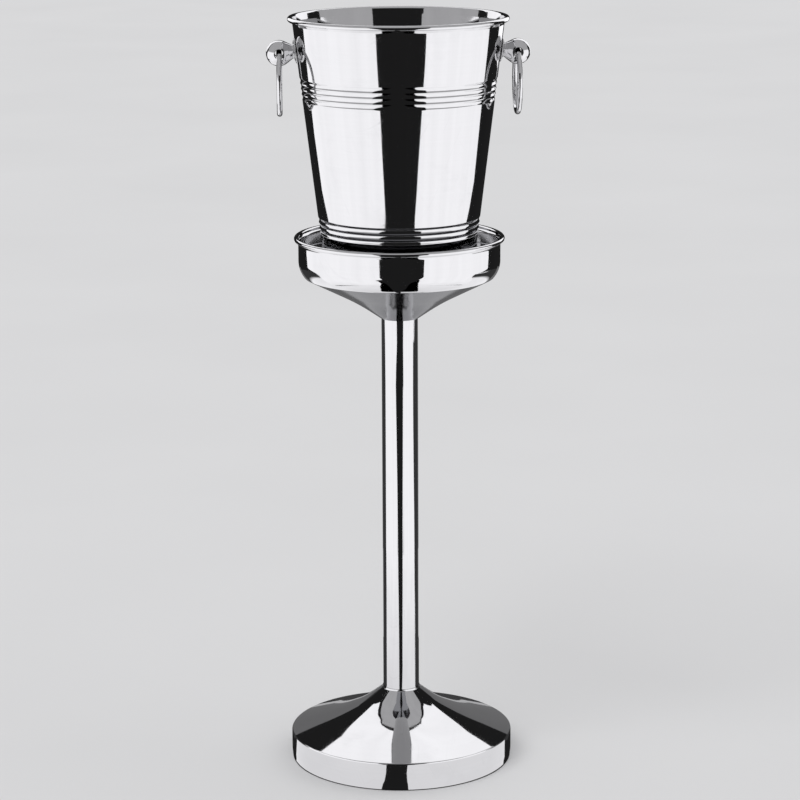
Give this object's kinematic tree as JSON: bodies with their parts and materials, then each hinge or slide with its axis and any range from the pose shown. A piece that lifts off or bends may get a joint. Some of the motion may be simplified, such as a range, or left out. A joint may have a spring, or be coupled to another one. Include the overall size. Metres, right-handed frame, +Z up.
{
  "type": "ice bucket on a floor stand",
  "caption": "Polished steel ice bucket with ring handles on ball knobs, resting in the bowl of a tall pedestal stand with a weighted conical base.",
  "frame": {"origin": "on the floor, on the axis of the pole, at the underside of the rubber foot ring", "axes": "+Z up along the pole, +X through the right ring handle, +Y away from the viewer"},
  "size_m": [0.2694, 0.2346, 0.7897],
  "materials": {
    "polished_steel": "mirror polished stainless steel, spun and buffed",
    "bright_steel": "bright zinc-plated steel",
    "cast_iron": "rough cast iron, painted black",
    "cast_aluminium": "turned casting",
    "black_rubber": "matt moulded rubber",
    "silicone": "translucent food-grade silicone"
  },
  "bodies": {
    "stand": {"base_cover": "polished_steel", "base_weight": "cast_iron", "bottom_plate": "bright_steel", "plate_screw_1": "bright_steel", "plate_screw_2": "bright_steel", "plate_screw_3": "bright_steel", "rubber_foot_ring": "black_rubber", "pole_tube": "polished_steel", "base_hub": "cast_aluminium", "bowl_hub": "cast_aluminium", "bottom_washer": "bright_steel", "bottom_nut": "bright_steel", "top_washer": "bright_steel", "top_nut": "bright_steel", "tie_rod": "bright_steel", "bowl_shell": "polished_steel", "seat_pan": "polished_steel"},
    "bucket": {"bucket_shell": "polished_steel", "left_handle_rose": "polished_steel", "left_knob": "polished_steel", "left_handle_gasket": "silicone", "left_handle_washer": "bright_steel", "left_handle_screw": "bright_steel", "right_handle_rose": "polished_steel", "right_knob": "polished_steel", "right_handle_gasket": "silicone", "right_handle_washer": "bright_steel", "right_handle_screw": "bright_steel"},
    "left_ring": {"left_ring": "polished_steel"},
    "right_ring": {"right_ring": "polished_steel"}
  },
  "joints": [
    {"name": "bucket_lift", "type": "slide", "parent": "stand", "child": "bucket", "axis": [0, 0, 1], "range_m": [0, 0.25]},
    {"name": "left_ring_swing", "type": "hinge", "parent": "bucket", "child": "left_ring", "pos_m": [-0.12162, 0, 0.7529], "axis": [0, 1, 0], "range_deg": [-20, 190]},
    {"name": "right_ring_swing", "type": "hinge", "parent": "bucket", "child": "right_ring", "pos_m": [0.12162, 0, 0.7529], "axis": [0, -1, 0], "range_deg": [-20, 190]}
  ]
}
